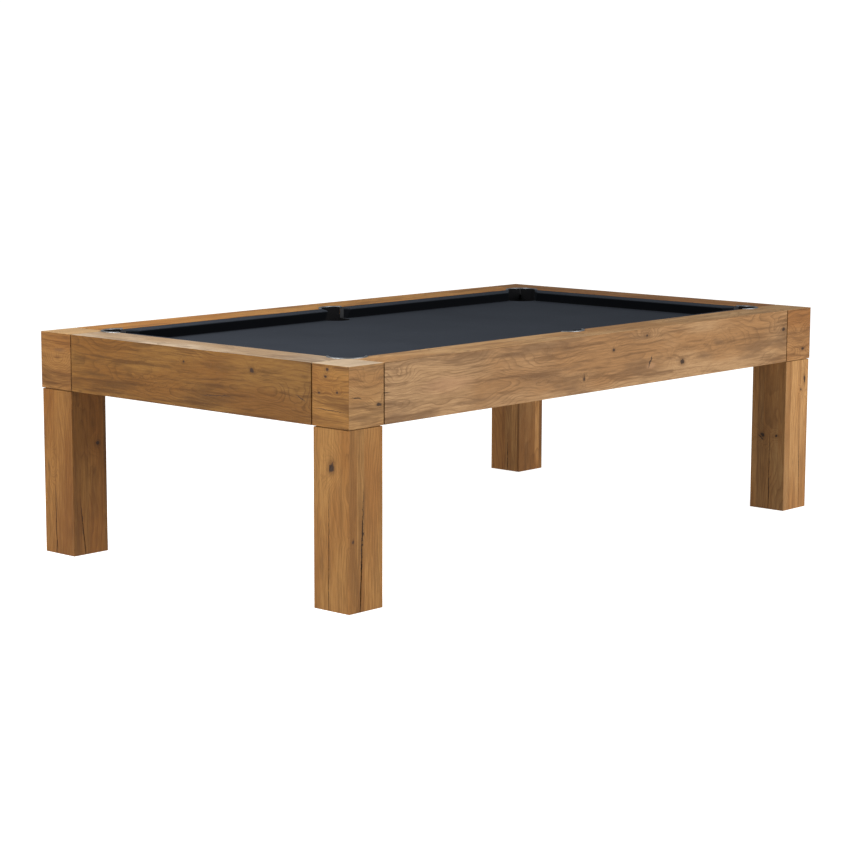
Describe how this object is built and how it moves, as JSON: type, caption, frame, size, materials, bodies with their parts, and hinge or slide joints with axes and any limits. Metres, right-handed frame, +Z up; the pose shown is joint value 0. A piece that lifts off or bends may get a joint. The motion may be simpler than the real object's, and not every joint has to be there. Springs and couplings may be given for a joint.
{
  "type": "pool table",
  "caption": "Solid oak pool table with square legs, boxed corner blocks, slate bed under dark cloth, drop pockets with metal rims, and screw levellers.",
  "frame": {"origin": "on the floor under the middle of the table", "axes": "+X along the length from the head end to the foot end, +Y across to the left-hand side, +Z up"},
  "size_m": [2.6416, 1.524, 0.803],
  "materials": {
    "leg_oak": "oiled knotty oak, upright grain, with checks rising from the foot",
    "corner_oak": "oiled knotty oak, grain level",
    "apron_oak": "oiled knotty oak, grain along the board",
    "cap_oak": "oiled knotty oak, grain along the rail",
    "frame_timber": "plain sawn softwood",
    "slate": "ground slate",
    "bed_cloth": "worsted billiard cloth, charcoal blue-grey",
    "cushion_cloth": "the same cloth stretched over the rubber",
    "rim_metal": "satin nickel",
    "pocket_black": "black moulded liner",
    "leveller_black": "black nylon",
    "leveller_steel": "zinc-plated steel"
  },
  "bodies": {
    "table": {"leg_head_right": "leg_oak", "leg_head_left": "leg_oak", "leg_foot_right": "leg_oak", "leg_foot_left": "leg_oak", "corner_block_head_right": "corner_oak", "corner_block_head_left": "corner_oak", "corner_block_foot_right": "corner_oak", "corner_block_foot_left": "corner_oak", "apron_right": "apron_oak", "apron_left": "apron_oak", "apron_head": "apron_oak", "apron_foot": "apron_oak", "rail_cap_right": "cap_oak", "rail_cap_left": "cap_oak", "rail_cap_head": "cap_oak", "rail_cap_foot": "cap_oak", "subrail_right_head": "frame_timber", "subrail_right_foot": "frame_timber", "subrail_left_head": "frame_timber", "subrail_left_foot": "frame_timber", "subrail_head": "frame_timber", "subrail_foot": "frame_timber", "cushion_right_head": "cushion_cloth", "cushion_right_foot": "cushion_cloth", "cushion_left_head": "cushion_cloth", "cushion_left_foot": "cushion_cloth", "cushion_head": "cushion_cloth", "cushion_foot": "cushion_cloth", "slate_head": "slate", "slate_middle": "slate", "slate_foot": "slate", "bed_cloth": "bed_cloth", "pocket_rim_head_right": "rim_metal", "pocket_rim_head_left": "rim_metal", "pocket_rim_foot_right": "rim_metal", "pocket_rim_foot_left": "rim_metal", "pocket_rim_side_right": "rim_metal", "pocket_rim_side_left": "rim_metal", "pocket_bucket_head_right": "pocket_black", "pocket_bucket_head_left": "pocket_black", "pocket_bucket_foot_right": "pocket_black", "pocket_bucket_foot_left": "pocket_black", "pocket_bucket_side_right": "pocket_black", "pocket_bucket_side_left": "pocket_black", "side_beam_right": "frame_timber", "side_beam_left": "frame_timber", "end_beam_head": "frame_timber", "end_beam_foot": "frame_timber", "cross_beam_head": "frame_timber", "cross_beam_foot": "frame_timber", "centre_beam": "frame_timber"},
    "leveller_pad_head_right": {"leveller_pad_head_right": "leveller_black"},
    "leveller_screw_head_right": {"leveller_screw_head_right": "leveller_steel"},
    "leveller_pad_head_left": {"leveller_pad_head_left": "leveller_black"},
    "leveller_screw_head_left": {"leveller_screw_head_left": "leveller_steel"},
    "leveller_pad_foot_right": {"leveller_pad_foot_right": "leveller_black"},
    "leveller_screw_foot_right": {"leveller_screw_foot_right": "leveller_steel"},
    "leveller_pad_foot_left": {"leveller_pad_foot_left": "leveller_black"},
    "leveller_screw_foot_left": {"leveller_screw_foot_left": "leveller_steel"}
  },
  "joints": [
    {"name": "pad_drop_head_right", "type": "slide", "parent": "table", "child": "leveller_pad_head_right", "axis": [0, 0, -1], "range_m": [0, 0.02]},
    {"name": "screw_turn_head_right", "type": "hinge", "parent": "leveller_pad_head_right", "child": "leveller_screw_head_right", "pos_m": [-1.2398, -0.681, 0.05], "axis": [0, 0, 1], "range_deg": [0, 4114.79]},
    {"name": "pad_drop_head_left", "type": "slide", "parent": "table", "child": "leveller_pad_head_left", "axis": [0, 0, -1], "range_m": [0, 0.02]},
    {"name": "screw_turn_head_left", "type": "hinge", "parent": "leveller_pad_head_left", "child": "leveller_screw_head_left", "pos_m": [-1.2398, 0.681, 0.05], "axis": [0, 0, 1], "range_deg": [0, 4114.79]},
    {"name": "pad_drop_foot_right", "type": "slide", "parent": "table", "child": "leveller_pad_foot_right", "axis": [0, 0, -1], "range_m": [0, 0.02]},
    {"name": "screw_turn_foot_right", "type": "hinge", "parent": "leveller_pad_foot_right", "child": "leveller_screw_foot_right", "pos_m": [1.2398, -0.681, 0.05], "axis": [0, 0, 1], "range_deg": [0, 4114.79]},
    {"name": "pad_drop_foot_left", "type": "slide", "parent": "table", "child": "leveller_pad_foot_left", "axis": [0, 0, -1], "range_m": [0, 0.02]},
    {"name": "screw_turn_foot_left", "type": "hinge", "parent": "leveller_pad_foot_left", "child": "leveller_screw_foot_left", "pos_m": [1.2398, 0.681, 0.05], "axis": [0, 0, 1], "range_deg": [0, 4114.79]}
  ],
  "couplings": [
    {"joint": "screw_turn_head_right", "follows": "pad_drop_head_right", "rad_per_m": 3590.4},
    {"joint": "screw_turn_head_left", "follows": "pad_drop_head_left", "rad_per_m": 3590.4},
    {"joint": "screw_turn_foot_right", "follows": "pad_drop_foot_right", "rad_per_m": 3590.4},
    {"joint": "screw_turn_foot_left", "follows": "pad_drop_foot_left", "rad_per_m": 3590.4}
  ]
}
